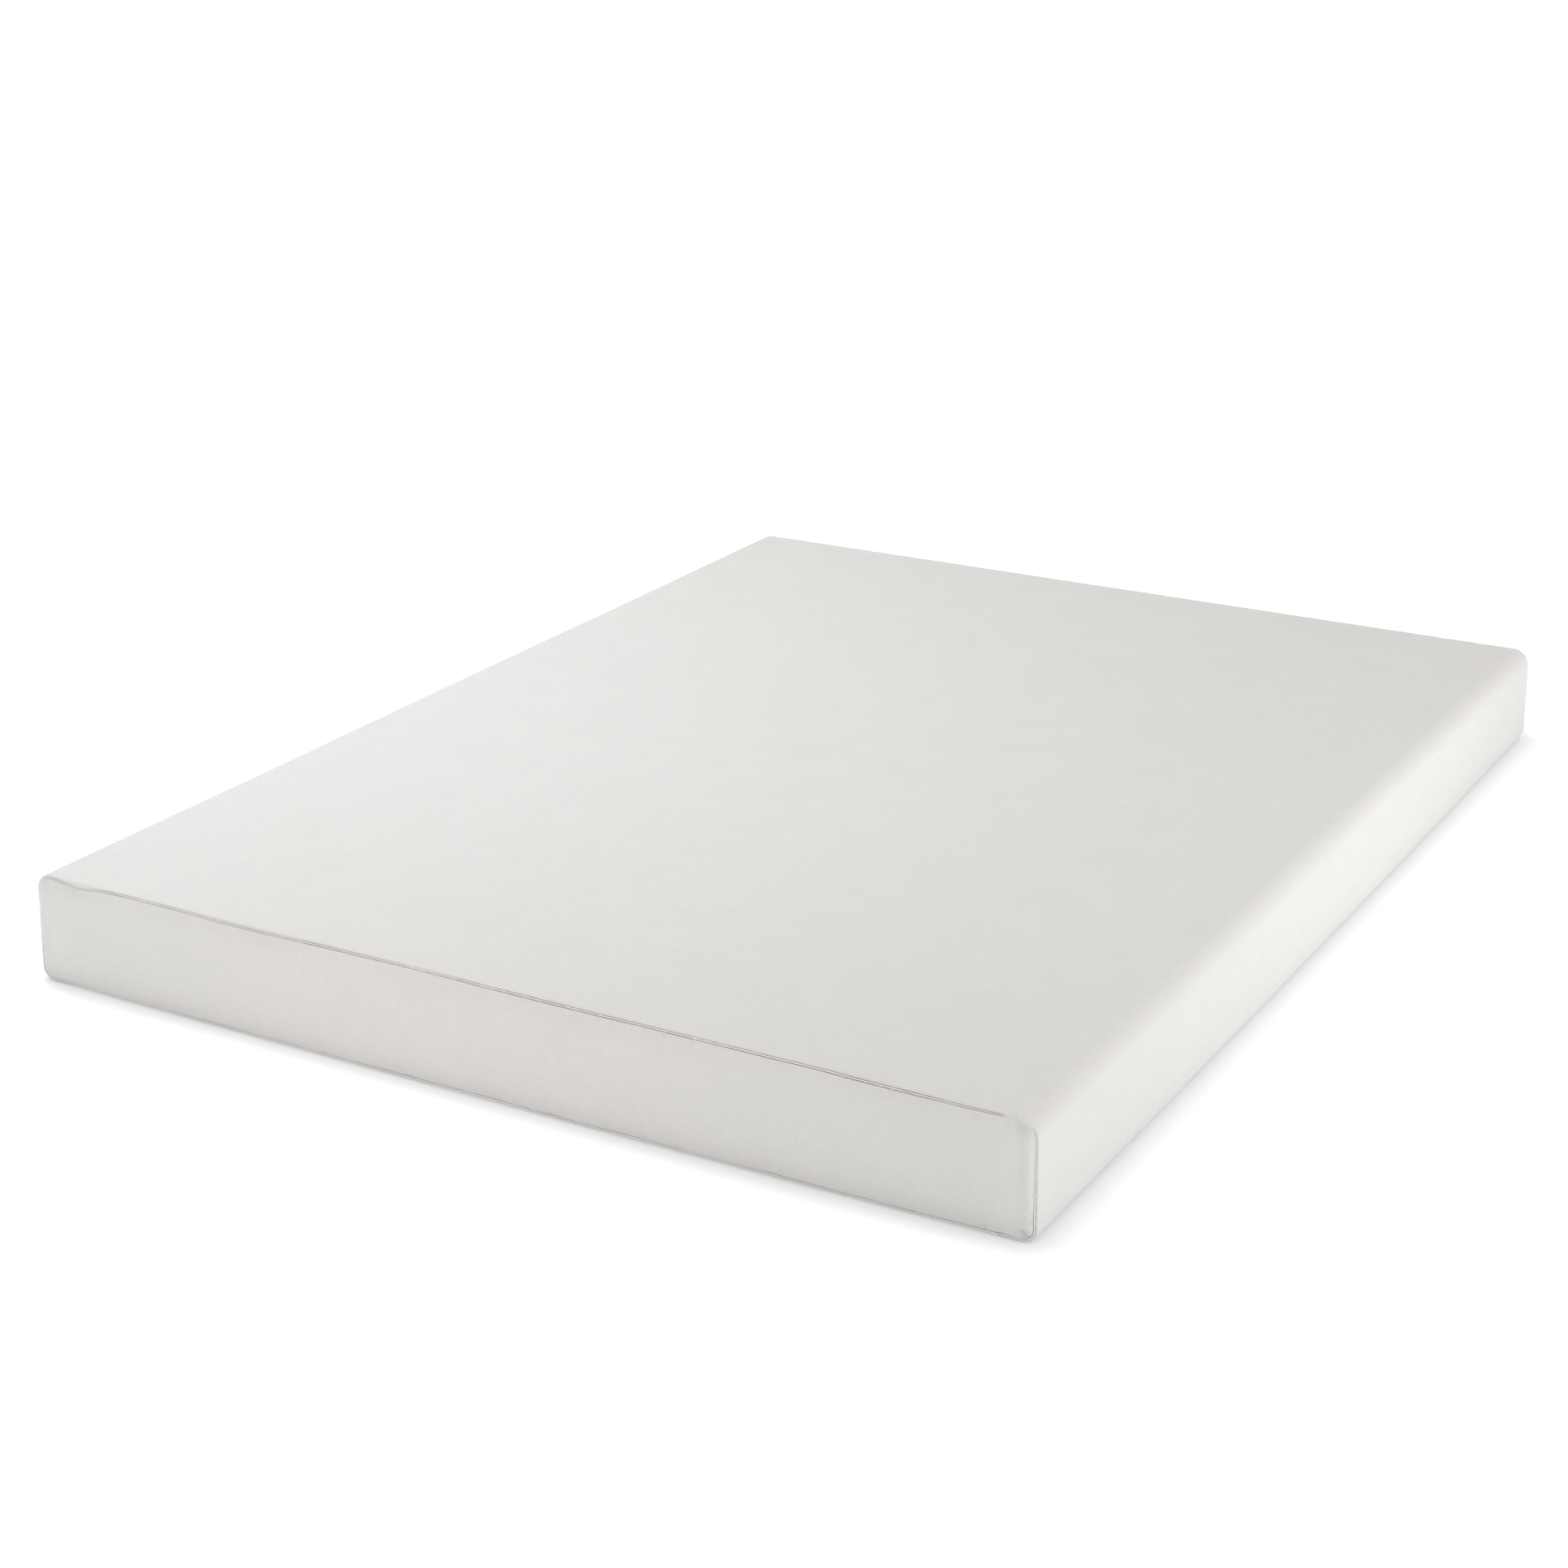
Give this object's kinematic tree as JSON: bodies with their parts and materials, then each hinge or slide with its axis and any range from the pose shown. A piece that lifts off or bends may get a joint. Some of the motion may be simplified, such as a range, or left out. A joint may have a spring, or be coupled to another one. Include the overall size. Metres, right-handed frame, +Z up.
{
  "type": "memory foam mattress",
  "caption": "Queen-size slab mattress of layered memory foam in a plain off-white knitted cover with sewn end panels and a coil zip across the head end.",
  "frame": {"origin": "centre of the cover's underside, on the surface the mattress lies on", "axes": "+X across the width, +Y along the length towards the head end, +Z up"},
  "size_m": [1.5308, 2.0455, 0.1603],
  "materials": {
    "cover_knit": "matte",
    "base_cloth": "matte",
    "seam_thread": "matte",
    "zip_tape": "matte",
    "zip_coil": "satin",
    "zip_metal": "satin",
    "label_cloth": "matte",
    "fire_sock": "matte",
    "comfort_foam": "matte",
    "adhesive": "matte",
    "base_foam": "matte"
  },
  "bodies": {
    "mattress": {"cover_wrap": "cover_knit", "cover_foot_panel": "cover_knit", "cover_head_panel_upper": "cover_knit", "cover_head_panel_lower": "cover_knit", "cover_bottom_panel": "base_cloth", "foot_end_seam": "seam_thread", "head_end_seam": "seam_thread", "bottom_seam_left": "seam_thread", "bottom_seam_right": "seam_thread", "zip_tape_upper": "zip_tape", "zip_tape_lower": "zip_tape", "zip_coil_upper": "zip_coil", "zip_coil_lower": "zip_coil", "zip_stop_closed_end": "zip_metal", "zip_stop_open_end": "zip_metal", "law_label": "label_cloth", "fire_sock_sleeve": "fire_sock", "fire_sock_foot_closure": "fire_sock", "fire_sock_head_closure": "fire_sock", "memory_foam_layer": "comfort_foam", "adhesive_film": "adhesive", "base_foam_layer": "base_foam"},
    "zip_slider": {"zip_slider": "zip_metal"},
    "zip_pull": {"zip_pull_tab": "zip_metal"}
  },
  "joints": [
    {"name": "zip_slide", "type": "slide", "parent": "mattress", "child": "zip_slider", "axis": [-1, 0, 0], "range_m": [0, 1.39]},
    {"name": "zip_pull_flip", "type": "hinge", "parent": "zip_slider", "child": "zip_pull", "pos_m": [0.6953, 1.023, 0.03], "axis": [0, 0, -1], "range_deg": [0, 180]}
  ]
}
